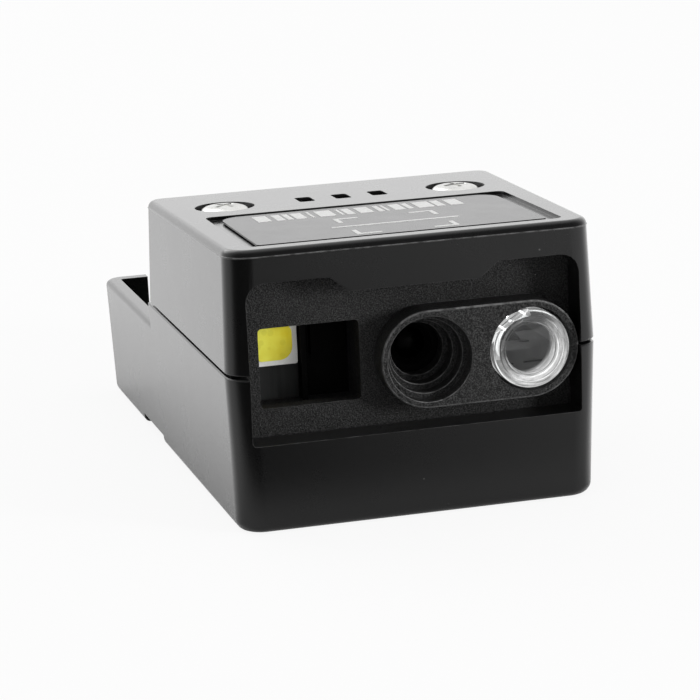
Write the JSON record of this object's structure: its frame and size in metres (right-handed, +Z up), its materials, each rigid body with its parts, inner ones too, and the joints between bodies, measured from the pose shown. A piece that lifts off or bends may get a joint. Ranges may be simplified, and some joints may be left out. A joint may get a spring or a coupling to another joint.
{
  "type": "barcode scan engine",
  "caption": "Small fixed-mount barcode scan engine: moulded black clamshell with a front window, stepped camera bore, clear aiming lens, lamp aperture and an open tail with sockets.",
  "frame": {"origin": "centre of the underside, at the middle of the width and of the length", "axes": "+Z up, -Y out through the window, +Y towards the open tail with the sockets, +X to the right seen from the window"},
  "size_m": [0.0298, 0.0477, 0.0211],
  "materials": {
    "case_plastic": "satin",
    "chassis_plastic": "matt, fine texture",
    "label_film": "satin film",
    "zinc_steel": "bright zinc",
    "clear_plastic": "polished",
    "lens_glass": "polished",
    "barrel_plastic": "matt",
    "white_package": "matt",
    "phosphor": "satin silicone",
    "black_board": "satin solder mask",
    "green_board": "satin solder mask",
    "chip_epoxy": "matt",
    "crystal_can": "satin",
    "socket_steel": "bright",
    "header_nylon": "matt",
    "gold_plate": "bright",
    "brass": "knurled",
    "flex_film": "satin film"
  },
  "bodies": {
    "root": {"lower_housing": "case_plastic", "upper_cover": "case_plastic", "top_label": "label_film", "cover_screw_left": "zinc_steel", "cover_screw_right": "zinc_steel", "optical_chassis": "chassis_plastic", "camera_lens_barrel": "barrel_plastic", "camera_lens": "lens_glass", "image_sensor": "chip_epoxy", "sensor_board": "green_board", "sensor_screw_upper": "zinc_steel", "sensor_screw_lower": "zinc_steel", "aiming_lens": "clear_plastic", "aiming_led": "white_package", "led_board": "black_board", "illumination_led": "white_package", "led_phosphor": "phosphor", "light_sensor": "chip_epoxy", "main_board": "green_board", "board_screw_left": "zinc_steel", "board_screw_right": "zinc_steel", "decoder_chip": "chip_epoxy", "memory_chip": "chip_epoxy", "crystal": "crystal_can", "status_led": "white_package", "buzzer": "chip_epoxy", "sensor_board_connector": "header_nylon", "main_board_connector": "header_nylon", "flex_cable": "flex_film", "usb_socket_shell": "socket_steel", "usb_socket_tongue": "chip_epoxy", "header_housing": "header_nylon", "header_pin_1": "gold_plate", "header_pin_2": "gold_plate", "header_pin_3": "gold_plate", "header_pin_4": "gold_plate", "mounting_insert_left": "brass", "mounting_insert_right": "brass"}
  },
  "joints": []
}
